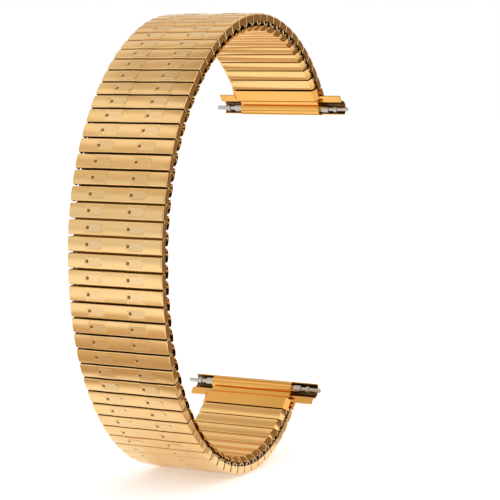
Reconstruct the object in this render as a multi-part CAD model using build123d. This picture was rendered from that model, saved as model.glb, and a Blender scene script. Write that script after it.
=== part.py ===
from build123d import *
import math
import os

# An expansion watch band, bent as it lies when nothing holds it. It is two rows of short tubes that lie half a
# link apart, one over the other. Bent wire bows hook each outer tube to the inner tubes beside it, and a leaf
# spring in every tube presses on the legs of its bows. An end link closes the band at each end. Two trough-shaped
# sleeves slide out of it to fill the space between the watch's lugs, and a spring bar passes through it.
#
# Lengths are in millimetres and angles in degrees. +X runs across the band, +Z is up, and the band bulges
# towards -Y. The origin is the middle of the spring bar in the upper end link.

# The band as a whole
BAND_WIDTH = 16.0
LINK_PITCH = 2.5
LINKS_PER_GROUP = 4
# The heading of the band's run where it leaves the upper end link, counted from +Y towards +Z
START_HEADING = 126.5
# How far the band turns over each group of links at rest, from the upper end to the lower one
GROUP_TURNS = (19.5, 19.5, 21.0, 20.5, 17.0, 15.0, 15.5, 14.5, 11.5, 14.5, 16.0, 19.0, 23.5, 27.5, 28.0)

# The two rows of tubes
OUTER_LINK_LENGTH = 2.2
OUTER_TUBE_LENGTH = 2.1
INNER_LINK_LENGTH = 2.05
OUTER_LINK_DEPTH = 1.3
INNER_LINK_DEPTH = 1.3
ROW_GAP = 0.2
TUBE_WIDTH = 14.6
TUBE_WALL = 0.12
TUBE_CORNER = 0.1
INNER_END_BEVEL = 0.65

# The cover on each outer tube
COVER_THICKNESS = 0.35
COVER_CROWN = 0.15
COVER_END_WALL = 0.2
COVER_END_ROUNDING = 0.45
COVER_CORNER = 0.25
PAD_RISE = 0.05
PAD_START = 2.0
PAD_END = 4.95
PAD_LENGTH = 1.8
PAD_CORNER = 0.25

# The wire bows
WIRE_DIAMETER = 0.36
BOW_LEG = 3.0
BOW_BEND_RADIUS = 0.3
LEG_CLEARANCE = 0.04
WIRE_GAP = 0.08

# The leaf springs
LEAF_THICKNESS = 0.08
LEAF_WIDTH = 13.6
LEAF_LENGTH = 1.6
LEAF_CLEARANCE = 0.02

# The end links
BARREL_REACH = 3.6
BARREL_DEPTH = 1.5
BARREL_DIAMETER = 2.3
BARREL_BORE = 1.3
BARREL_WIDTH = 14.8
END_BLOCK_LENGTH = 2.0
END_BLOCK_DEPTH = 1.0
END_BLOCK_GAP = 0.15
END_NECK_LENGTH = 0.85
END_NECK_WIDTH = 14.4
WEB_THICKNESS = 0.54
WEB_WIDTH = 14.6
RAMP_LENGTH = 0.55
RAMP_RISE = 0.45

# The sleeves that slide out of the end links
SLEEVE_WALL = 0.2
SLEEVE_CLEARANCE = 0.05
SLEEVE_LENGTH = 7.4
SLEEVE_REACH = 11.4
TROUGH_START_ANGLE = 6.0
TROUGH_END_ANGLE = 166.0
LIP_TIP = 1.12
LIP_THICKNESS = 0.25
LIP_TOP = 1.07
STOP_PIN_DIAMETER = 0.4
STOP_PIN_PLACE = 4.6
STOP_SLOT_CLEARANCE = 0.03
SLEEVE_TRAVEL = 3.4

# The spring bars
BAR_DIAMETER = 1.2
BAR_BORE = 1.0
BAR_TUBE_WIDTH = 17.8
BAR_CRIMP_WIDTH = 0.3
TIP_DIAMETER = 0.7
TIP_STEM_DIAMETER = 0.74
TIP_HEAD_DIAMETER = 0.92
TIP_HEAD_WIDTH = 0.8
TIP_FLANGE_DIAMETER = 1.1
TIP_FLANGE_WIDTH = 0.5
TIP_TRAVEL = 1.0
TIP_LENGTH = 2.0
TIP_POINT_CHAMFER = 0.15
CRIMP_CLEARANCE = 0.04
COIL_WIRE_DIAMETER = 0.14
COIL_TURNS = 16
COIL_CLEARANCE = 0.06

# Worked out from the sizes above
STEPS_PER_GROUP = 2 * LINKS_PER_GROUP
HALF_PITCH = LINK_PITCH / 2
WIRE_RADIUS = WIRE_DIAMETER / 2
INNER_TOP = OUTER_LINK_DEPTH + ROW_GAP
BAND_DEPTH = INNER_TOP + INNER_LINK_DEPTH
OUTER_LEG_DEPTH = COVER_THICKNESS + TUBE_WALL + LEG_CLEARANCE + WIRE_RADIUS
INNER_LEG_DEPTH = INNER_TOP + TUBE_WALL + LEG_CLEARANCE + WIRE_RADIUS
POCKET_DEPTH = INNER_LEG_DEPTH + WIRE_RADIUS + LEG_CLEARANCE
BRIDGE_PLACE = (TUBE_WIDTH / 2 + BAND_WIDTH / 2 - COVER_END_WALL) / 2
# Places of the bows' legs in their tubes, counted towards the upper end. The first leg of a tube comes from the
# link before it, and the second from the link after it.
LEG_STEP = WIRE_DIAMETER + WIRE_GAP
OUTER_FIRST_LEG = OUTER_TUBE_LENGTH / 2 - TUBE_WALL - LEG_CLEARANCE - WIRE_RADIUS
OUTER_SECOND_LEG = OUTER_FIRST_LEG - LEG_STEP
INNER_FIRST_LEG = INNER_LINK_LENGTH / 2 - TUBE_WALL - LEG_CLEARANCE - WIRE_RADIUS
INNER_SECOND_LEG = INNER_FIRST_LEG - LEG_STEP
TIP_FLANGE_PLACE = BAR_TUBE_WIDTH / 2 + TIP_TRAVEL
TIP_HEAD_PLACE = BAR_TUBE_WIDTH / 2 - BAR_CRIMP_WIDTH


def heading_vector(heading):
    """The unit vector of the band's run at a heading."""
    return Vector(0, math.cos(math.radians(heading)), math.sin(math.radians(heading)))


def outward_vector(heading):
    """The unit vector that points out of the band's outer face at a heading."""
    return Vector(0, math.sin(math.radians(heading)), -math.cos(math.radians(heading)))


def link_plane(point, heading):
    """A link's own frame: x across the band, y towards the upper end, z out of the outer face."""
    return Plane(origin=point, x_dir=(1, 0, 0), z_dir=outward_vector(heading))


def band_planes():
    """The frames of all links from the upper end link to the lower one, outer and inner links in turn."""
    heading = START_HEADING
    point = BARREL_REACH * heading_vector(heading) + BARREL_DEPTH * outward_vector(heading)
    planes = [link_plane(point, heading)]
    for group_turn in GROUP_TURNS:
        turn = group_turn / STEPS_PER_GROUP
        for _ in range(STEPS_PER_GROUP):
            point = point + HALF_PITCH * heading_vector(heading + turn / 2)
            heading += turn
            planes.append(link_plane(point, heading))
    return planes


def stop_pin_reach():
    """Where the stop pins stand: halfway between the lip's tip and the barrel."""
    return (LIP_TIP + BARREL_REACH - BARREL_DIAMETER / 2) / 2


def block(width, length, top, bottom, middle=0.0):
    """A box across the band, between two depths under the outer face. Its middle lies towards the end."""
    box = Box(width, length, bottom - top, align=(Align.CENTER, Align.CENTER, Align.MAX))
    return Pos(0, middle, -top) * box


def across(profile, width):
    """A profile drawn in y and z, drawn out across the band to both sides of the middle."""
    return extrude(Plane.YZ * profile, amount=width / 2, both=True)


def hollow_tube(length, top, bottom):
    """A tube with a rounded rectangular section, open at both ends."""
    depth = bottom - top
    ring = RectangleRounded(length, depth, TUBE_CORNER)
    ring -= Rectangle(length - 2 * TUBE_WALL, depth - 2 * TUBE_WALL)
    return Pos(0, 0, -(top + bottom) / 2) * across(ring, TUBE_WIDTH)


def leaf_spring(low, high):
    """A leaf spring: its middle rests at the low depth, and both ends rise to the high one."""
    reach = LEAF_WIDTH / 2
    under = ThreePointArc((-reach, -high), (0, -low), (reach, -high))
    over = ThreePointArc((-reach, LEAF_THICKNESS - high), (0, LEAF_THICKNESS - low), (reach, LEAF_THICKNESS - high))
    ends = [Line(under @ end, over @ end) for end in (0, 1)]
    side = make_face([under, over, *ends])
    return extrude(Plane.XZ * side, amount=LEAF_LENGTH / 2, both=True)


def outer_cover():
    """The pressed cover of an outer link: a crowned top with two flat pads, and a closed wall at each end."""
    half = OUTER_LINK_LENGTH / 2
    edge = -(PAD_RISE + COVER_CROWN)
    crown = ThreePointArc((-half, edge), (0, -PAD_RISE), (half, edge))
    rim = Polyline((half, edge), (half, -COVER_THICKNESS), (-half, -COVER_THICKNESS), (-half, edge))
    cover = across(make_face([crown, rim]), BAND_WIDTH)
    wall = block(BAND_WIDTH, OUTER_TUBE_LENGTH, COVER_THICKNESS, OUTER_LINK_DEPTH)
    room = block(BAND_WIDTH - 2 * COVER_END_WALL, OUTER_LINK_LENGTH, COVER_THICKNESS, OUTER_LINK_DEPTH)
    cover += wall - room
    for side in (-1, 1):
        pad = RectangleRounded(PAD_END - PAD_START, PAD_LENGTH, PAD_CORNER)
        place = Pos(side * (PAD_START + PAD_END) / 2, 0, -COVER_THICKNESS)
        cover += place * extrude(pad, amount=COVER_THICKNESS)
    end_view = Rectangle(BAND_WIDTH, 2 * OUTER_LINK_DEPTH)
    end_view = fillet(end_view.vertices(), COVER_END_ROUNDING)
    top_view = RectangleRounded(BAND_WIDTH, OUTER_LINK_LENGTH, COVER_CORNER)
    cover &= Pos(0, 0, -OUTER_LINK_DEPTH) * extrude(Plane.XZ * end_view, amount=OUTER_LINK_LENGTH, both=True)
    return cover & extrude(top_view, amount=OUTER_LINK_DEPTH, both=True)


def outer_link():
    """The solids of an outer link: cover, tube and leaf spring."""
    floor = OUTER_LINK_DEPTH - TUBE_WALL
    leg_bottom = OUTER_LEG_DEPTH + WIRE_RADIUS
    return [
        outer_cover(),
        hollow_tube(OUTER_TUBE_LENGTH, COVER_THICKNESS, OUTER_LINK_DEPTH),
        leaf_spring(floor - LEAF_CLEARANCE, leg_bottom + LEAF_THICKNESS + LEAF_CLEARANCE),
    ]


def inner_leaf():
    """The leaf spring of an inner tube."""
    floor = BAND_DEPTH - TUBE_WALL
    leg_bottom = INNER_LEG_DEPTH + WIRE_RADIUS
    return leaf_spring(floor - LEAF_CLEARANCE, leg_bottom + LEAF_THICKNESS + LEAF_CLEARANCE)


def inner_tube():
    """An inner tube: a bar with bevelled ends on the wrist side, hollow, and open above its two ends."""
    half = BAND_WIDTH / 2
    outline = Polyline(
        (-half, -INNER_TOP),
        (half, -INNER_TOP),
        (half, INNER_END_BEVEL - BAND_DEPTH),
        (half - INNER_END_BEVEL, -BAND_DEPTH),
        (INNER_END_BEVEL - half, -BAND_DEPTH),
        (-half, INNER_END_BEVEL - BAND_DEPTH),
        close=True,
    )
    tube = extrude(Plane.XZ * make_face(outline), amount=INNER_LINK_LENGTH / 2, both=True)
    tube -= block(TUBE_WIDTH, INNER_LINK_LENGTH - 2 * TUBE_WALL, INNER_TOP + TUBE_WALL, BAND_DEPTH - TUBE_WALL)
    pockets = block(BAND_WIDTH, INNER_LINK_LENGTH, INNER_TOP, POCKET_DEPTH)
    pockets -= block(TUBE_WIDTH, INNER_LINK_LENGTH, INNER_TOP, POCKET_DEPTH)
    return tube - pockets


def end_link():
    """An end link: an inner tube, a block beside the last outer link, and a barrel on a web behind them."""
    link = inner_tube()
    near = INNER_LINK_LENGTH / 2
    web_top = LIP_TOP + LIP_THICKNESS + LEG_CLEARANCE
    web_bottom = web_top + WEB_THICKNESS
    ramp = Polyline(
        (near - TUBE_WALL, -BAND_DEPTH),
        (near, -BAND_DEPTH),
        (near + RAMP_LENGTH, RAMP_RISE - BAND_DEPTH),
        (near + RAMP_LENGTH, -web_bottom),
        (near + RAMP_LENGTH, -web_top),
        (near - TUBE_WALL, -web_top),
        close=True,
    )
    link += across(make_face(ramp), WEB_WIDTH)
    web_length = BARREL_REACH - near
    link += block(WEB_WIDTH, web_length, web_top, web_bottom, middle=near + web_length / 2)
    top = block(BAND_WIDTH, END_BLOCK_LENGTH, 0, END_BLOCK_DEPTH, middle=END_BLOCK_GAP + END_BLOCK_LENGTH / 2)
    rounded = top.edges().filter_by(Axis.Y).group_by(Axis.Z)[-1] + top.edges().filter_by(Axis.X).group_by(Axis.Z)[-1]
    link += fillet(rounded, COVER_CORNER)
    neck_middle = END_BLOCK_GAP + END_NECK_LENGTH / 2
    link += block(END_NECK_WIDTH, END_NECK_LENGTH, END_BLOCK_DEPTH, INNER_TOP, middle=neck_middle)
    pin = Cylinder(STOP_PIN_DIAMETER / 2, web_bottom - END_BLOCK_DEPTH, align=(Align.CENTER, Align.CENTER, Align.MAX))
    for side in (-1, 1):
        link += Pos(side * STOP_PIN_PLACE, stop_pin_reach(), -END_BLOCK_DEPTH) * pin
    link += Pos(0, BARREL_REACH, -BARREL_DEPTH) * Rot(0, 90, 0) * Cylinder(BARREL_DIAMETER / 2, BARREL_WIDTH)
    return link - Pos(0, BARREL_REACH, -BARREL_DEPTH) * Rot(0, 90, 0) * Cylinder(BARREL_BORE / 2, BAND_WIDTH)


def sleeve():
    """The right-hand sleeve, drawn out: a trough round the barrel's outer side, with a lip that runs in the end
    link. A slot in the lip lets the stop pin pass."""
    inner = BARREL_DIAMETER / 2 + SLEEVE_CLEARANCE
    outer = inner + SLEEVE_WALL
    sweep_angle = TROUGH_END_ANGLE - TROUGH_START_ANGLE
    arcs = [CenterArc((0, 0), radius, TROUGH_START_ANGLE, sweep_angle) for radius in (inner, outer)]
    ends = [Line(arcs[0] @ end, arcs[1] @ end) for end in (0, 1)]
    root = (inner + SLEEVE_WALL / 2) * math.cos(math.radians(TROUGH_END_ANGLE))
    lip = Rectangle(BARREL_REACH + root - LIP_TIP, LIP_THICKNESS, align=(Align.MAX, Align.MAX))
    section = make_face([*arcs, *ends]) + Pos(root, BARREL_DEPTH - LIP_TOP) * lip
    body = extrude(Plane.YZ * Pos(BARREL_REACH, -BARREL_DEPTH) * section, amount=SLEEVE_LENGTH)
    slot_radius = STOP_PIN_DIAMETER / 2 + STOP_SLOT_CLEARANCE
    slot = SlotCenterToCenter(SLEEVE_TRAVEL, 2 * slot_radius)
    slot_place = Pos(STOP_PIN_PLACE + SLEEVE_TRAVEL / 2, stop_pin_reach(), -LIP_TOP)
    body = Pos(SLEEVE_REACH - SLEEVE_LENGTH, 0, 0) * body
    return body - slot_place * extrude(slot, amount=LIP_THICKNESS, both=True)


def rod(diameter, start, end):
    """A round rod along x between two places."""
    cylinder = Cylinder(diameter / 2, end - start, align=(Align.CENTER, Align.CENTER, Align.MIN))
    return Pos(start, 0, 0) * Rot(0, 90, 0) * cylinder


def bar_tube():
    """The tube of a spring bar, with its ends crimped over the tips' heads."""
    half = BAR_TUBE_WIDTH / 2
    tube = rod(BAR_DIAMETER, -half, half)
    tube -= rod(BAR_BORE, BAR_CRIMP_WIDTH - half, half - BAR_CRIMP_WIDTH)
    return tube - rod(TIP_STEM_DIAMETER + 2 * CRIMP_CLEARANCE, -half, half)


def bar_tip():
    """The right-hand tip of a spring bar, pushed out: a head inside the tube, a stem, a flange and a point."""
    flange_end = TIP_FLANGE_PLACE + TIP_FLANGE_WIDTH
    head_end = TIP_HEAD_PLACE - CRIMP_CLEARANCE
    tip = rod(TIP_HEAD_DIAMETER, head_end - TIP_HEAD_WIDTH, head_end)
    tip += rod(TIP_STEM_DIAMETER, head_end, TIP_FLANGE_PLACE)
    tip += rod(TIP_FLANGE_DIAMETER, TIP_FLANGE_PLACE, flange_end)
    point = rod(TIP_DIAMETER, flange_end, flange_end + TIP_LENGTH)
    return tip + chamfer(point.edges().filter_by(GeomType.CIRCLE).group_by(Axis.X)[-1], TIP_POINT_CHAMFER)


def bar_coil():
    """The coil spring between the heads of a spring bar's two tips."""
    height = 2 * (TIP_HEAD_PLACE - CRIMP_CLEARANCE - TIP_HEAD_WIDTH - COIL_CLEARANCE) - COIL_WIRE_DIAMETER
    radius = (BAR_BORE - COIL_WIRE_DIAMETER) / 2 - COIL_CLEARANCE
    turns = Helix(pitch=height / COIL_TURNS, height=height, radius=radius)
    wire = Plane(origin=turns @ 0, z_dir=turns % 0) * Circle(COIL_WIRE_DIAMETER / 2)
    return Rot(0, 90, 0) * Pos(0, 0, -height / 2) * sweep(wire, path=turns, is_frenet=True)


def leg_point(plane, reach, depth):
    """The middle of a bow's leg: its place in a link's frame, in the middle of the band."""
    return plane.from_local_coords(Vector(0, reach, -depth))


def bow(outer_leg, inner_leg, side):
    """A wire bow: one leg in an outer tube, one in an inner tube, and a bridge past the tubes' ends."""
    start = Vector(side * (TUBE_WIDTH / 2 - BOW_LEG), 0, 0)
    bridge = Vector(side * BRIDGE_PLACE, 0, 0)
    corners = [outer_leg + start, outer_leg + bridge, inner_leg + bridge, inner_leg + start]
    route = FilletPolyline(*corners, radius=BOW_BEND_RADIUS)
    return sweep(Plane(origin=route @ 0, z_dir=route % 0) * Circle(WIRE_RADIUS), path=route)


def bow_pair(outer_plane, outer_reach, inner_plane, inner_reach):
    """The left and right bows between two links."""
    outer_leg = leg_point(outer_plane, outer_reach, OUTER_LEG_DEPTH)
    inner_leg = leg_point(inner_plane, inner_reach, INNER_LEG_DEPTH)
    return [bow(outer_leg, inner_leg, side) for side in (-1, 1)]


def bows_before(outer_plane, inner_plane):
    """The bows from an inner link to the outer link before it."""
    return bow_pair(outer_plane, OUTER_SECOND_LEG, inner_plane, INNER_FIRST_LEG)


def bows_after(outer_plane, inner_plane):
    """The bows from an inner link to the outer link after it."""
    return bow_pair(outer_plane, OUTER_FIRST_LEG, inner_plane, INNER_SECOND_LEG)


def save(name, solids):
    """Writes one node."""
    export_step(Compound(children=list(solids)), f"parts/{name}.step")


def save_end(name, plane):
    """Writes the nodes of one end of the band. Right is towards +X on both ends."""
    place = plane.location
    bar_place = place * Pos(0, BARREL_REACH, -BARREL_DEPTH)
    right = "right" if plane.x_dir.X > 0 else "left"
    left = "left" if plane.x_dir.X > 0 else "right"
    save(f"{name}_end_link", [place * end_link(), place * inner_leaf()])
    save(f"{name}_sleeve_{right}", [place * sleeve()])
    save(f"{name}_sleeve_{left}", [place * mirror(sleeve(), about=Plane.YZ)])
    save(f"{name}_spring_bar_tube", [bar_place * bar_tube()])
    save(f"{name}_spring_bar_coil", [bar_place * bar_coil()])
    save(f"{name}_spring_bar_tip_{right}", [bar_place * bar_tip()])
    save(f"{name}_spring_bar_tip_{left}", [bar_place * mirror(bar_tip(), about=Plane.YZ)])


def save_group(number, planes):
    """Writes the nodes of one group of links. Its planes run from its first outer link to the outer link after
    its last inner one. The last group ends at the lower end link, whose bows it holds."""
    outer_planes = planes[0::2]
    inner_planes = planes[1::2]
    is_last = len(outer_planes) == len(inner_planes)
    own_inner_planes = inner_planes[:-1] if is_last else inner_planes
    link = outer_link()
    tube = [inner_tube(), inner_leaf()]
    save(f"outer_links_{number:02}", [p.location * s for p in outer_planes[:LINKS_PER_GROUP] for s in link])
    save(f"inner_links_{number:02}", [p.location * s for p in own_inner_planes for s in tube])
    wires = [b for pair in zip(outer_planes, inner_planes) for b in bows_before(*pair)]
    wires += [b for pair in zip(outer_planes[1:], inner_planes) for b in bows_after(*pair)]
    save(f"bows_{number:02}", wires)


os.makedirs("parts", exist_ok=True)
band = band_planes()
lower = band[-1]
save_end("upper", band[0])
save_end("lower", Plane(origin=lower.origin, x_dir=-lower.x_dir, z_dir=lower.z_dir))
save("upper_end_bows", bows_after(band[1], band[0]))
for index in range(len(GROUP_TURNS)):
    first = 1 + index * STEPS_PER_GROUP
    save_group(index + 1, band[first : first + STEPS_PER_GROUP + 1])
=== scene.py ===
import math

import bmesh
import bpy
from mathutils import Matrix, Vector


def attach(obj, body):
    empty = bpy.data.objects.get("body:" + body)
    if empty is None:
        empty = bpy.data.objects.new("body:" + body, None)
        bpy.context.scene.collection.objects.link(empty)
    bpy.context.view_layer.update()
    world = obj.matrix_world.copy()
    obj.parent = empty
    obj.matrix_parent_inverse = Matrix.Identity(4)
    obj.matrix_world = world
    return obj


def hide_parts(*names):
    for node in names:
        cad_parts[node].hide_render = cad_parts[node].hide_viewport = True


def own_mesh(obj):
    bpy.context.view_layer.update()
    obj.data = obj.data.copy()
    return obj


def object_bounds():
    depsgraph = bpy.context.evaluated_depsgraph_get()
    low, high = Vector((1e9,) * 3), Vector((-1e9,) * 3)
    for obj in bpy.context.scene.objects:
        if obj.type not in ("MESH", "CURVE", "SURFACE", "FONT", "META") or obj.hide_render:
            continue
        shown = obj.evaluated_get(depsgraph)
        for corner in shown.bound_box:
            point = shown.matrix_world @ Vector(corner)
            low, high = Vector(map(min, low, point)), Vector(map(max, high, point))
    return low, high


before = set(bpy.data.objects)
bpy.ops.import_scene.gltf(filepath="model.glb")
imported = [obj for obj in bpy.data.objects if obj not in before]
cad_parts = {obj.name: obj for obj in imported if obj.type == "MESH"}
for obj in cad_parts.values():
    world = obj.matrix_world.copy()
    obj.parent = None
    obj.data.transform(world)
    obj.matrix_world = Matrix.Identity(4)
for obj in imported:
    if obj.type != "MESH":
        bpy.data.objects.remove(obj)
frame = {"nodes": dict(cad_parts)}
cad_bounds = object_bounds()
band_middle = (cad_bounds[0] + cad_bounds[1]) / 2

# The looks of an expansion watch band. Each link's own frame has x across the band, y towards the upper end
# and z out of the outer face, whose highest point is at zero. Lengths are in metres and angles in degrees.
MM = 0.001

# The band's run, as the frame has it
BAND_WIDTH = 16.0 * MM
LINK_PITCH = 2.5 * MM
LINKS_PER_GROUP = 4
START_HEADING = 126.5
GROUP_TURNS = (19.5, 19.5, 21.0, 20.5, 17.0, 15.0, 15.5, 14.5, 11.5, 14.5, 16.0, 19.0, 23.5, 27.5, 28.0)
BARREL_REACH = 3.6 * MM
BARREL_DEPTH = 1.5 * MM

# The outer links
COVER_LENGTH = 2.2 * MM
COVER_THICKNESS = 0.35 * MM
COVER_DEPTH = 1.3 * MM
COVER_END_WALL = 0.2 * MM
COVER_END_ROUNDING = 0.22 * MM
COVER_CORNER = 0.14 * MM
COVER_EDGE_ROUNDING = 0.12 * MM
COVER_END_STATIONS = 8
CROWN_TOP = 0.04 * MM
CROWN_DROP = 0.1 * MM
PAD_LEFT_ENDS = (-4.95 * MM, 2.0 * MM)
PAD_WIDTH = 2.95 * MM
PAD_STEP = 0.09 * MM
PAD_STEP_RUN = 0.06 * MM
PAD_STEP_DEPTH = 0.06 * MM
PAD_EDGE_DROP = 0.1 * MM
PAD_FLAT = 1.24 * MM
PAD_TAPER = 0.4 * MM
PAD_END_SHARE = 0.35
PAD_SAMPLES = 6
DIMPLE_PLACE = 0.36 * MM
DIMPLE_RADIUS = 0.3 * MM
DIMPLE_DEPTH = 0.2 * MM
# Below this share of a dimple's depth its faces get painted shade.
DIMPLE_PAINTED_SHADE_SHARE = 0.35
DIMPLE_STATIONS = 9

# The tubes, and the finishes of a cover's and an inner link's faces, two of which are painted shade: one
# under a cover and on an inner link's top, one in the deep part of a dimple
TUBE_WIDTH = 14.6 * MM
TUBE_LENGTH = 2.1 * MM
TUBE_WALL = 0.12 * MM
SHOWN_FINISH, PAINTED_SHADE_FINISH, PAD_FINISH, DIMPLE_PAINTED_SHADE_FINISH = range(4)

# The inner links
BAR_LENGTH = 2.05 * MM
BAR_TOP = 1.5 * MM
BAR_BOTTOM = 2.8 * MM
BAR_END_BEVEL = 0.65 * MM
BAR_CORNER = 0.34 * MM
BAR_CORNER_STATIONS = 7
BAR_EDGE_ROUNDING = 0.09 * MM
BAR_END_ROUNDING = 0.12 * MM
BAR_CROWN = 0.14 * MM
BAR_SHARES = (0.2, 0.4, 0.6, 0.75)
BAR_SHADE_LEVEL = -2.4 * MM
POCKET_DEPTH = 2.06 * MM

# The leaf springs
LEAF_THICKNESS = 0.08 * MM
LEAF_WIDTH = 13.6 * MM
LEAF_LENGTH = 1.6 * MM
OUTER_LEAF_LOW = 1.16 * MM
OUTER_LEAF_HIGH = 0.97 * MM
INNER_LEAF_LOW = 2.66 * MM
INNER_LEAF_HIGH = 2.12 * MM
LEAF_STATIONS = 17

# The sleeves' inner side, within this distance of the spring bar's axis, which gets painted shade
TROUGH_RADIUS = 1.25 * MM

# The camera, at the photograph's place and angle
CAMERA_PLACE = Vector((135.32, -279.64, 7.36)) * MM
CAMERA_AZIMUTH = 26.84
CAMERA_ELEVATION = 5.87
CAMERA_LENS = 129.3
SENSOR_WIDTH = 36.0
CAMERA_NEAREST = 10 * MM

# The floor
FLOOR_DROP = 57.5 * MM
FLOOR_SIZE = 4000 * MM

# The studio's colours: around it from straight down to straight up, and over its floor from the middle
# outwards. Each has its two ends first.
WORLD_COLOURS = (
    (0, (0.8, 0.8, 0.8)),
    (1, (0.45, 0.32, 0.2)),
    (0.5, (0.82, 0.81, 0.8)),
    (0.62, (0.9, 0.87, 0.82)),
    (0.75, (0.62, 0.5, 0.35)),
    (0.87, (0.92, 0.87, 0.8)),
)
FLOOR_COLOURS = (
    (0, (1, 1, 1)),
    (1, (0.8, 0.78, 0.74)),
    (0.048, (1, 1, 1)),
    (0.066, (0.5, 0.37, 0.25)),
    (0.1, (0.6, 0.47, 0.34)),
    (0.17, (0.95, 0.93, 0.9)),
)
FLOOR_CENTRE = (-13 * MM, -27 * MM)
FLOOR_REACH = 600 * MM
FLOOR_GLOW = 0.32
FLOOR_ROUGHNESS = 0.9
PLAIN_LEVEL = 0.85

# The dark cards that only metal sees: where each stands, its width and its height
CARDS = (((46 * MM, 30 * MM), 110 * MM, 80 * MM), ((100 * MM, -175 * MM), 90 * MM, 110 * MM))
CARD_COLOUR = (0.26, 0.17, 0.09)

# The lamps: name, place and size in metres, and power in watts
LAMPS = (
    ("key", (-0.45, -0.5, 0.55), 0.5, 0.12),
    ("back", (0.2, 0.5, 0.5), 0.5, 0.2),
    ("side", (0.5, -0.05, 0.42), 0.4, 0.25),
)

# The metals' grain and tint
GRAIN_STRETCH = 12
GRAIN_DETAIL = 4
GRAIN_LOW = 0.3
GRAIN_HIGH = 0.7
CLOUD_SCALE = 260
CLOUD_DETAIL = 2
BUMP_DEPTH = 0.02 * MM

# How far a cutting box passes what it cuts
OVERRUN = 0.5 * MM

# The steepest edge that is shaded smooth, and the places over a rounded edge
SMOOTH_ANGLE = 10
ROUNDING_SHARES = (1, 0.45, 0.13, 0)


def run_vector(heading):
    """The unit vector of the band's run at a heading."""
    return Vector((0, math.cos(heading), math.sin(heading)))


def outward_vector(heading):
    """The unit vector out of the band's outer face at a heading."""
    return Vector((0, math.sin(heading), -math.cos(heading)))


def link_matrix(point, heading):
    """The matrix from a link's own frame to the part's."""
    axes = Matrix((Vector((1, 0, 0)), -run_vector(heading), outward_vector(heading))).transposed()
    return Matrix.Translation(point) @ axes.to_4x4()


def band_matrices():
    """The matrices of all links from the upper end link to the lower one."""
    heading = math.radians(START_HEADING)
    point = BARREL_REACH * run_vector(heading) + BARREL_DEPTH * outward_vector(heading)
    matrices = [link_matrix(point, heading)]
    steps = 2 * LINKS_PER_GROUP
    for group_turn in GROUP_TURNS:
        turn = math.radians(group_turn / steps)
        for _ in range(steps):
            point = point + LINK_PITCH / 2 * run_vector(heading + turn / 2)
            heading += turn
            matrices.append(link_matrix(point, heading))
    return matrices


def spread(low, high, count):
    """Evenly spaced values from low to high, both included."""
    return [low + (high - low) * i / (count - 1) for i in range(count)]


def arc_drop(radius, distance):
    """How far a rounded edge has fallen, at a distance past the start of its rounding."""
    return radius - math.sqrt(max(radius**2 - distance**2, 0))


def loft(rings):
    """A closed mesh through rings that have the same number of points."""
    mesh = bmesh.new()
    rows = [[mesh.verts.new(point) for point in ring] for ring in rings]
    for before, after in zip(rows, rows[1:]):
        for i in range(len(before)):
            j = (i + 1) % len(before)
            mesh.faces.new((before[i], before[j], after[j], after[i]))
    mesh.faces.new(rows[0])
    mesh.faces.new(rows[-1])
    bmesh.ops.recalc_face_normals(mesh, faces=mesh.faces)
    return mesh


def box_mesh(low, high):
    """A closed box between two corners."""
    ring = [(low[1], low[2]), (high[1], low[2]), (high[1], high[2]), (low[1], high[2])]
    return loft([[(x, y, z) for y, z in ring] for x in (low[0], high[0])])


def to_object(name, mesh):
    """A new object from a bmesh, which is used up."""
    data = bpy.data.meshes.new(name)
    mesh.to_mesh(data)
    mesh.free()
    made = bpy.data.objects.new(name, data)
    bpy.context.scene.collection.objects.link(made)
    return made


def cut(mesh, others):
    """A bmesh with others cut from it."""
    body = to_object("body", mesh)
    tools = [to_object("tool", other) for other in others]
    for tool in tools:
        modifier = body.modifiers.new("cut", "BOOLEAN")
        modifier.operation = "DIFFERENCE"
        modifier.object = tool
        modifier.solver = "EXACT"
    bpy.context.view_layer.update()
    evaluated = body.evaluated_get(bpy.context.evaluated_depsgraph_get())
    result = bmesh.new()
    result.from_mesh(evaluated.to_mesh())
    evaluated.to_mesh_clear()
    for used in [body, *tools]:
        bpy.data.objects.remove(used)
    return result


def edge_samples(half, rounding):
    """Places over an edge's rounding, close together at its outer end."""
    return [half - rounding * share for share in ROUNDING_SHARES]


def cover_stations():
    """Places across the band at which a cover's section changes."""
    half = BAND_WIDTH / 2
    start = half - COVER_END_ROUNDING
    angles = spread(0, math.pi / 2, COVER_END_STATIONS)
    ends = [start + COVER_END_ROUNDING * math.sin(angle) for angle in angles]
    ends.append(half - COVER_CORNER)
    stations = [-x for x in ends] + ends
    for left in PAD_LEFT_ENDS:
        right = left + PAD_WIDTH
        dimple = left + DIMPLE_PLACE
        stations += [left - PAD_STEP, left, right - PAD_TAPER, right, right + PAD_STEP]
        stations += spread(dimple - DIMPLE_RADIUS, dimple + DIMPLE_RADIUS, DIMPLE_STATIONS)
    return sorted(set(stations))


def pad_flat_half(x):
    """Half the length of a pad's flat facet at a place across the band, or none outside the pads."""
    for left in PAD_LEFT_ENDS:
        from_end = min(x - left, left + PAD_WIDTH - x)
        if from_end >= 0:
            return PAD_FLAT / 2 * min(PAD_END_SHARE + (1 - PAD_END_SHARE) * from_end / PAD_TAPER, 1)
    return None


def cover_height(x, y):
    """The height of a cover's top face: a crown, and two pads of three facets with a dimple each."""
    half = COVER_LENGTH / 2
    flat = pad_flat_half(x)
    if flat is None:
        return -CROWN_TOP - CROWN_DROP * (y / half) ** 2
    if abs(y) > flat:
        past = abs(y) - flat
        step = PAD_STEP_DEPTH * min(past / PAD_STEP_RUN, 1)
        return -step - (PAD_EDGE_DROP - PAD_STEP_DEPTH) * past / (half - flat)
    away = min(math.hypot(x - left - DIMPLE_PLACE, y) for left in PAD_LEFT_ENDS) / DIMPLE_RADIUS
    return -DIMPLE_DEPTH * max(1 - away**2, 0)


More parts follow.
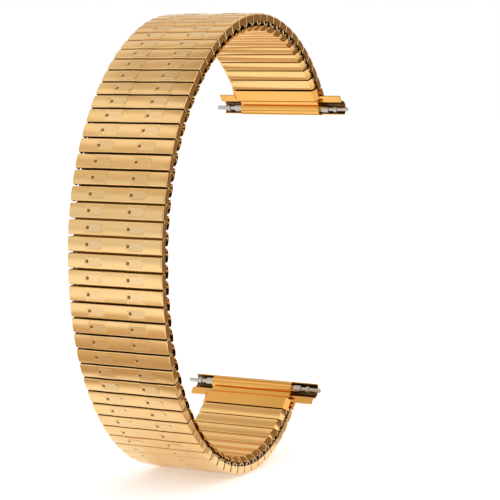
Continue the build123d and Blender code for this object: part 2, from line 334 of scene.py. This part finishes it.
def cover_ring(x):
    """A cover's outline at a place across the band."""
    half_width = BAND_WIDTH / 2
    corner = max(abs(x) - (half_width - COVER_CORNER), 0)
    half = COVER_LENGTH / 2 - arc_drop(COVER_CORNER, corner)
    end_fall = arc_drop(COVER_END_ROUNDING, max(abs(x) - (half_width - COVER_END_ROUNDING), 0))
    flat = pad_flat_half(x) or PAD_FLAT / 2
    places = spread(0, flat, PAD_SAMPLES)
    places += [flat + PAD_STEP_RUN, (flat + COVER_LENGTH / 2 - COVER_EDGE_ROUNDING) / 2]
    places += edge_samples(COVER_LENGTH / 2, COVER_EDGE_ROUNDING)
    share = half / (COVER_LENGTH / 2)
    ring = []
    for place in [-place for place in reversed(places[1:])] + places:
        over = max(abs(place) - (COVER_LENGTH / 2 - COVER_EDGE_ROUNDING), 0)
        height = cover_height(x, place) - end_fall - arc_drop(COVER_EDGE_ROUNDING, over)
        ring.append((x, place * share, height))
    return ring + [(x, half, -COVER_DEPTH), (x, -half, -COVER_DEPTH)]


def cover_mesh():
    """One outer link's cover, hollow under its plate and closed at its ends."""
    solid = loft([cover_ring(x) for x in cover_stations()])
    inner = BAND_WIDTH / 2 - COVER_END_WALL
    length = COVER_LENGTH / 2 + OVERRUN
    room = box_mesh((-inner, -length, -COVER_DEPTH - OVERRUN), (inner, length, -COVER_THICKNESS))
    return cut(solid, [room])


def set_face_materials(mesh, finish_of):
    """Gives each face of a mesh the material of its place."""
    for face in mesh.faces:
        face.material_index = finish_of(face.calc_center_median())


def cover_finish_and_shade(point):
    """The finish of a place on a cover, with painted shade under its plate and in the deep part of each
    dimple.
    """
    if point.z < -COVER_THICKNESS / 2 - CROWN_DROP:
        return PAINTED_SHADE_FINISH if abs(point.x) < BAND_WIDTH / 2 - COVER_END_WALL / 2 else SHOWN_FINISH
    flat = pad_flat_half(point.x)
    if flat is None or abs(point.y) > flat:
        return SHOWN_FINISH
    return DIMPLE_PAINTED_SHADE_FINISH if point.z < -DIMPLE_DEPTH * DIMPLE_PAINTED_SHADE_SHARE else PAD_FINISH


def bar_finish_and_shade(point):
    """The finish of a place on an inner link, with painted shade on its top within the tube's width."""
    is_painted_shade = point.z > BAR_SHADE_LEVEL and abs(point.x) < TUBE_WIDTH / 2
    return PAINTED_SHADE_FINISH if is_painted_shade else SHOWN_FINISH


def tube_mesh():
    """The tube under an outer link's cover, open at both ends."""
    half = TUBE_LENGTH / 2
    width = TUBE_WIDTH / 2
    solid = box_mesh((-width, -half, -COVER_DEPTH), (width, half, -COVER_THICKNESS))
    room = box_mesh(
        (-width - OVERRUN, TUBE_WALL - half, TUBE_WALL - COVER_DEPTH),
        (width + OVERRUN, half - TUBE_WALL, -COVER_THICKNESS - TUBE_WALL),
    )
    return cut(solid, [room])


def leaf_mesh(low, high):
    """A leaf spring: its middle rests low in its tube, and both ends rise."""
    half = LEAF_LENGTH / 2
    section = ((-half, 0), (half, 0), (half, LEAF_THICKNESS), (-half, LEAF_THICKNESS))
    rings = []
    for share in spread(-1, 1, LEAF_STATIONS):
        x = share * LEAF_WIDTH / 2
        z = -low + (low - high) * share**2
        rings.append([(x, y, z + rise) for y, rise in section])
    return loft(rings)


def bar_ring(x):
    """An inner link's outline at a place across the band."""
    half_width = BAND_WIDTH / 2
    corner = max(abs(x) - (half_width - BAR_CORNER), 0)
    half = BAR_LENGTH / 2 - arc_drop(BAR_CORNER, corner)
    bevel = max(abs(x) - (half_width - BAR_END_BEVEL), 0)
    bottom = -BAR_BOTTOM + bevel
    ring = [(x, -half, -BAR_TOP), (x, half, -BAR_TOP)]
    rounding = min(BAR_EDGE_ROUNDING, half)
    places = [half * share for share in BAR_SHARES] + edge_samples(half, rounding)
    places = [-place for place in reversed(places)] + [0] + places
    for place in reversed(places):
        over = max(abs(place) - (half - rounding), 0)
        crown = BAR_CROWN * (place / half) ** 2
        ring.append((x, place, bottom + crown + arc_drop(rounding, over)))
    return ring


def bar_stations():
    """Places across the band at which an inner link's outline changes."""
    half = BAND_WIDTH / 2
    ends = [half - BAR_END_BEVEL - BAR_END_ROUNDING / 2, half - BAR_END_BEVEL]
    angles = spread(0, math.pi / 2, BAR_CORNER_STATIONS)
    ends += [half - BAR_CORNER + BAR_CORNER * math.sin(angle) for angle in angles]
    return [-x for x in reversed(ends)] + ends


def bar_mesh():
    """An inner link: a tube whose ends are bevelled on the wrist side and open above."""
    solid = loft([bar_ring(x) for x in bar_stations()])
    width = TUBE_WIDTH / 2
    half = BAR_LENGTH / 2
    inner = half - TUBE_WALL
    tools = [box_mesh((-width, -inner, TUBE_WALL - BAR_BOTTOM), (width, inner, -BAR_TOP - TUBE_WALL))]
    outside = BAND_WIDTH / 2 + OVERRUN
    past = half + OVERRUN
    for low, high in ((-outside, -width), (width, outside)):
        tools.append(box_mesh((low, -past, -POCKET_DEPTH), (high, past, OVERRUN - BAR_TOP)))
    return cut(solid, tools)


def place_copies(name, master, matrices, materials, body):
    """One piece made of copies of a mesh, placed in several links, which rides on a body."""
    joined = bmesh.new()
    for matrix in matrices:
        copy = bpy.data.meshes.new("copy")
        master.to_mesh(copy)
        copy.transform(matrix)
        joined.from_mesh(copy)
        bpy.data.meshes.remove(copy)
    piece = to_object(name, joined)
    piece.data.shade_smooth()
    piece.data.set_sharp_from_angle(angle=math.radians(SMOOTH_ANGLE))
    for material in materials:
        piece.data.materials.append(material)
    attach(piece, body)
    return piece


def coil_half(node, sign):
    """The half of a spring bar's coil on one side of its middle, copied from its node."""
    mesh = bmesh.new()
    mesh.from_mesh(node.data)
    parts = [*mesh.verts, *mesh.edges, *mesh.faces]
    away = (-sign, 0, 0)
    split = bmesh.ops.bisect_plane(mesh, geom=parts, plane_co=(0, 0, 0), plane_no=away, clear_outer=True)
    rims = [part for part in split["geom_cut"] if isinstance(part, bmesh.types.BMEdge)]
    bmesh.ops.holes_fill(mesh, edges=rims)
    return mesh


def metal(name, colour, second_colour, roughness, roughness_spread, streaks, bump):
    """A metal with fine streaks across the band and a slow change of tint."""
    made = bpy.data.materials.new(name)
    made.use_nodes = True
    nodes = made.node_tree.nodes
    links = made.node_tree.links
    shader = nodes["Principled BSDF"]
    shader.inputs["Metallic"].default_value = 1
    place = nodes.new("ShaderNodeTexCoord")
    stretch = nodes.new("ShaderNodeMapping")
    stretch.inputs["Scale"].default_value = (streaks / GRAIN_STRETCH, streaks, streaks)
    links.new(place.outputs["Object"], stretch.inputs["Vector"])
    grain = nodes.new("ShaderNodeTexNoise")
    grain.inputs["Scale"].default_value = 1
    grain.inputs["Detail"].default_value = GRAIN_DETAIL
    links.new(stretch.outputs["Vector"], grain.inputs["Vector"])
    cloud = nodes.new("ShaderNodeTexNoise")
    cloud.inputs["Scale"].default_value = CLOUD_SCALE
    cloud.inputs["Detail"].default_value = CLOUD_DETAIL
    links.new(place.outputs["Object"], cloud.inputs["Vector"])
    tint = nodes.new("ShaderNodeMix")
    tint.data_type = "RGBA"
    tint.inputs["A"].default_value = (*colour, 1)
    tint.inputs["B"].default_value = (*second_colour, 1)
    links.new(cloud.outputs["Fac"], tint.inputs["Factor"])
    links.new(tint.outputs["Result"], shader.inputs["Base Color"])
    rough = nodes.new("ShaderNodeMapRange")
    rough.inputs["From Min"].default_value = GRAIN_LOW
    rough.inputs["From Max"].default_value = GRAIN_HIGH
    rough.inputs["To Min"].default_value = roughness
    rough.inputs["To Max"].default_value = roughness + roughness_spread
    links.new(grain.outputs["Fac"], rough.inputs["Value"])
    links.new(rough.outputs["Result"], shader.inputs["Roughness"])
    relief = nodes.new("ShaderNodeBump")
    relief.inputs["Strength"].default_value = bump
    relief.inputs["Distance"].default_value = BUMP_DEPTH
    links.new(grain.outputs["Fac"], relief.inputs["Height"])
    links.new(relief.outputs["Normal"], shader.inputs["Normal"])
    return made


def set_material(node, material, shade_material=None, is_shaded_place=None):
    """Gives a node of the frame its finish, and perhaps painted shade on its recess."""
    node.data.materials.clear()
    node.data.materials.append(material)
    if shade_material:
        node.data.materials.append(shade_material)
    for polygon in node.data.polygons:
        inside = shade_material and is_shaded_place(node.matrix_world @ polygon.center)
        polygon.material_index = 1 if inside else 0


def dress_group(number, outer_own, inner_own):
    """The pieces of one group of links, at the places of its outer and inner links."""
    outer_body = f"outer_group_{number}"
    inner_body = f"inner_group_{number}"
    covers = place_copies(f"covers_{number}", cover, outer_own, COVER_FINISHES_AND_SHADES, outer_body)
    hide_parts(f"outer_links_{number}")
    tubes = place_copies(f"tubes_{number}", tube, outer_own, (PAINTED_SHADE_STEEL,), outer_body)
    leaves = place_copies(f"outer_leaves_{number}", outer_leaf, outer_own, (PAINTED_SHADE_STEEL,), outer_body)
    bars = place_copies(f"inner_bars_{number}", bar, inner_own, (INNER_GOLD, PAINTED_SHADE_STEEL), inner_body)
    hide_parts(f"inner_links_{number}")
    leaves = place_copies(f"inner_leaves_{number}", inner_leaf, inner_own, (PAINTED_SHADE_STEEL,), inner_body)
    set_material(frame["nodes"][f"bows_{number}"], BOW_STEEL)


def dress_end(end, body, axis):
    """The finishes of an end's nodes, with painted shade inside the sleeves' troughs, and the two halves of
    its coil, around the spring bar's middle.
    """
    nodes = frame["nodes"]
    set_material(nodes[f"{end}_end_link"], END_GOLD)
    coil = nodes[f"{end}_spring_bar_coil"]
    for sign, side in ((-1, "left"), (1, "right")):
        set_material(
            nodes[f"{end}_sleeve_{side}"],
            END_GOLD,
            TROUGH_PAINTED_SHADE_GOLD,
            lambda point: math.hypot(point.y - axis.y, point.z - axis.z) < TROUGH_RADIUS,
        )
        set_material(nodes[f"{end}_spring_bar_tip_{side}"], BAR_STEEL)
        half = place_copies(f"{end}_coil_{side}", coil_half(coil, sign), [Matrix()], (BAR_STEEL,), body)
        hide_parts(coil.name)
        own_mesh(half)
    set_material(nodes[f"{end}_spring_bar_tube"], BAR_STEEL)


def colour_steps(nodes, stops):
    """A ramp through colours at several places."""
    made = nodes.new("ShaderNodeValToRGB")
    made.color_ramp.interpolation = "EASE"
    for index, (position, colour) in enumerate(stops):
        stop = made.color_ramp.elements[index] if index < 2 else made.color_ramp.elements.new(position)
        stop.position = position
        stop.color = (*colour, 1)
    return made


def largest_of(nodes, links, values):
    """The largest of several values in a node tree."""
    largest = values[0]
    for value in values[1:]:
        either = nodes.new("ShaderNodeMath")
        either.operation = "MAXIMUM"
        links.new(largest, either.inputs[0])
        links.new(value, either.inputs[1])
        largest = either.outputs["Value"]
    return largest


def make_camera():
    """The camera, at the photograph's viewing angle."""
    data = bpy.data.cameras.new("camera")
    data.lens = CAMERA_LENS
    data.sensor_width = SENSOR_WIDTH
    data.clip_start = CAMERA_NEAREST
    camera = bpy.data.objects.new("camera", data)
    camera.location = CAMERA_PLACE
    tilt = math.pi / 2 - math.radians(CAMERA_ELEVATION)
    camera.rotation_euler = (tilt, 0, math.radians(CAMERA_AZIMUTH))
    bpy.context.scene.collection.objects.link(camera)
    bpy.context.scene.camera = camera


def make_floor():
    """A white floor that keeps a soft shadow, and that metal sees in several tones."""
    mesh = bmesh.new()
    half = FLOOR_SIZE / 2
    corners = [(-half, -half), (half, -half), (half, half), (-half, half)]
    mesh.faces.new([mesh.verts.new((x, y, -FLOOR_DROP)) for x, y in corners])
    floor = to_object("floor", mesh)
    made = bpy.data.materials.new("floor")
    made.use_nodes = True
    nodes = made.node_tree.nodes
    links = made.node_tree.links
    shader = nodes["Principled BSDF"]
    shader.inputs["Roughness"].default_value = FLOOR_ROUGHNESS
    shader.inputs["Specular IOR Level"].default_value = 0
    place = nodes.new("ShaderNodeTexCoord")
    away = nodes.new("ShaderNodeVectorMath")
    away.operation = "DISTANCE"
    away.inputs[1].default_value = (*FLOOR_CENTRE, -FLOOR_DROP)
    links.new(place.outputs["Object"], away.inputs[0])
    share = nodes.new("ShaderNodeMath")
    share.operation = "DIVIDE"
    share.inputs[1].default_value = FLOOR_REACH
    links.new(away.outputs["Value"], share.inputs[0])
    fade = colour_steps(nodes, FLOOR_COLOURS)
    links.new(share.outputs["Value"], fade.inputs["Fac"])
    path = nodes.new("ShaderNodeLightPath")
    colour = nodes.new("ShaderNodeMix")
    colour.data_type = "RGBA"
    colour.inputs["A"].default_value = (1, 1, 1, 1)
    links.new(path.outputs["Is Glossy Ray"], colour.inputs["Factor"])
    links.new(fade.outputs["Color"], colour.inputs["B"])
    links.new(colour.outputs["Result"], shader.inputs["Base Color"])
    rays = [path.outputs[f"Is {kind} Ray"] for kind in ("Camera", "Glossy", "Transmission")]
    seen = largest_of(nodes, links, rays)
    level = nodes.new("ShaderNodeMath")
    level.operation = "MULTIPLY"
    level.inputs[1].default_value = FLOOR_GLOW
    links.new(seen, level.inputs[0])
    glow = nodes.new("ShaderNodeEmission")
    links.new(colour.outputs["Result"], glow.inputs["Color"])
    links.new(level.outputs["Value"], glow.inputs["Strength"])
    both = nodes.new("ShaderNodeAddShader")
    links.new(shader.outputs["BSDF"], both.inputs[0])
    links.new(glow.outputs["Emission"], both.inputs[1])
    links.new(both.outputs["Shader"], nodes["Material Output"].inputs["Surface"])
    made.cycles.emission_sampling = "NONE"
    floor.data.materials.append(made)


def make_world():
    """White to the camera, a studio to metal, and plain light to everything else."""
    world = bpy.data.worlds.new("studio")
    bpy.context.scene.world = world
    world.use_nodes = True
    nodes = world.node_tree.nodes
    links = world.node_tree.links
    place = nodes.new("ShaderNodeTexCoord")
    split = nodes.new("ShaderNodeSeparateXYZ")
    links.new(place.outputs["Generated"], split.inputs["Vector"])
    height = nodes.new("ShaderNodeMapRange")
    height.inputs["From Min"].default_value = -1
    links.new(split.outputs["Z"], height.inputs["Value"])
    levels = colour_steps(nodes, WORLD_COLOURS)
    links.new(height.outputs["Result"], levels.inputs["Fac"])
    studio = nodes.new("ShaderNodeBackground")
    links.new(levels.outputs["Color"], studio.inputs["Color"])
    plain = nodes["Background"]
    plain.inputs["Color"].default_value = (1, 1, 1, 1)
    plain.inputs["Strength"].default_value = PLAIN_LEVEL
    white = nodes.new("ShaderNodeBackground")
    white.inputs["Color"].default_value = (1, 1, 1, 1)
    path = nodes.new("ShaderNodeLightPath")
    rays = [path.outputs[f"Is {kind} Ray"] for kind in ("Glossy", "Transmission")]
    shown = largest_of(nodes, links, rays)
    to_metal = nodes.new("ShaderNodeMixShader")
    links.new(shown, to_metal.inputs["Fac"])
    links.new(plain.outputs["Background"], to_metal.inputs[1])
    links.new(studio.outputs["Background"], to_metal.inputs[2])
    to_camera = nodes.new("ShaderNodeMixShader")
    links.new(path.outputs["Is Camera Ray"], to_camera.inputs["Fac"])
    links.new(to_metal.outputs["Shader"], to_camera.inputs[1])
    links.new(white.outputs["Background"], to_camera.inputs[2])
    links.new(to_camera.outputs["Shader"], nodes["World Output"].inputs["Surface"])


def make_card(name, place, width, height):
    """A dark card that stands on the floor, faces the band and is seen in metal only."""
    mesh = bmesh.new()
    corners = [(-width / 2, 0), (width / 2, 0), (width / 2, height), (-width / 2, height)]
    mesh.faces.new([mesh.verts.new((x, 0, z)) for x, z in corners])
    card = to_object(name, mesh)
    card.location = (*place, -FLOOR_DROP)
    to_band = band_middle - card.location
    card.rotation_euler.z = math.atan2(to_band.y, to_band.x) - math.pi / 2
    made = bpy.data.materials.new(name)
    made.use_nodes = True
    nodes = made.node_tree.nodes
    glow = nodes.new("ShaderNodeEmission")
    glow.inputs["Color"].default_value = (*CARD_COLOUR, 1)
    made.node_tree.links.new(glow.outputs["Emission"], nodes["Material Output"].inputs["Surface"])
    made.cycles.emission_sampling = "NONE"
    card.data.materials.append(made)
    card.visible_camera = False
    card.visible_diffuse = False
    card.visible_shadow = False


def make_lamp(name, place, size, power):
    """A soft square lamp that points at the band."""
    data = bpy.data.lights.new(name, "AREA")
    data.size = size
    data.energy = power
    lamp = bpy.data.objects.new(name, data)
    lamp.location = place
    lamp.rotation_euler = (band_middle - Vector(place)).to_track_quat("-Z", "Y").to_euler()
    bpy.context.scene.collection.objects.link(lamp)


# The metals: name, two tints, roughness and how much more it gets, streaks and the strength of their relief
COVER_GOLD = metal("cover_gold", (0.86, 0.58, 0.26), (0.92, 0.64, 0.31), 0.1, 0.06, 9000, 0.04)
INNER_GOLD = metal("inner_gold", (0.89, 0.56, 0.21), (0.93, 0.61, 0.26), 0.1, 0.06, 5000, 0.03)
END_GOLD = metal("end_gold", (0.815, 0.43, 0.105), (0.865, 0.49, 0.14), 0.1, 0.06, 5000, 0.02)
PAD_GOLD = metal("pad_gold", (0.82, 0.59, 0.30), (0.88, 0.64, 0.34), 0.2, 0.04, 9000, 0.012)
# Dark brown gold for the deep part of each dimple: painted shade of the hollow.
DIMPLE_PAINTED_SHADE_GOLD = metal("dimple_painted_shade_gold", (0.3, 0.16, 0.03), (0.36, 0.19, 0.04), 0.16, 0.06, 5000, 0.02)
# Near-black gold for the sleeves' troughs: painted shade inside them.
TROUGH_PAINTED_SHADE_GOLD = metal("trough_painted_shade_gold", (0.13, 0.075, 0.03), (0.17, 0.10, 0.045), 0.25, 0.1, 5000, 0.02)
# Dark brown steel for the tubes and leaves, also laid under each cover and on each inner link's top: its
# darkness is painted shade of the gaps between links.
PAINTED_SHADE_STEEL = metal("painted_shade_steel", (0.36, 0.17, 0.035), (0.44, 0.22, 0.05), 0.4, 0.1, 5000, 0.04)
BOW_STEEL = metal("bow_steel", (0.72, 0.62, 0.44), (0.78, 0.68, 0.50), 0.2, 0.08, 5000, 0.02)
BAR_STEEL = metal("bar_steel", (0.56, 0.56, 0.55), (0.62, 0.62, 0.61), 0.22, 0.1, 6000, 0.03)

# The cover's finishes by index; the second and the fourth are painted shade.
COVER_FINISHES_AND_SHADES = (COVER_GOLD, PAINTED_SHADE_STEEL, PAD_GOLD, DIMPLE_PAINTED_SHADE_GOLD)

link_matrices = band_matrices()
cover = cover_mesh()
set_face_materials(cover, cover_finish_and_shade)
tube = tube_mesh()
outer_leaf = leaf_mesh(OUTER_LEAF_LOW, OUTER_LEAF_HIGH)
bar = bar_mesh()
set_face_materials(bar, bar_finish_and_shade)
inner_leaf = leaf_mesh(INNER_LEAF_LOW, INNER_LEAF_HIGH)
for index in range(len(GROUP_TURNS)):
    first = 1 + index * 2 * LINKS_PER_GROUP
    own = link_matrices[first : first + 2 * LINKS_PER_GROUP]
    outer_own = own[0::2]
    inner_own = own[1::2]
    if index == len(GROUP_TURNS) - 1:
        inner_own = inner_own[:-1]
    dress_group(f"{index + 1:02}", outer_own, inner_own)

set_material(frame["nodes"]["upper_end_bows"], BOW_STEEL)
dress_end("upper", "upper_end", Vector())
lower_axis = link_matrices[-1] @ Vector((0, -BARREL_REACH, -BARREL_DEPTH))
dress_end("lower", f"inner_group_{len(GROUP_TURNS):02}", lower_axis)

make_camera()
make_floor()
make_world()
for card_number, card_sizes in enumerate(CARDS, 1):
    make_card(f"card_{card_number}", *card_sizes)
for lamp_values in LAMPS:
    make_lamp(*lamp_values)
bpy.context.scene.view_settings.view_transform = "Standard"
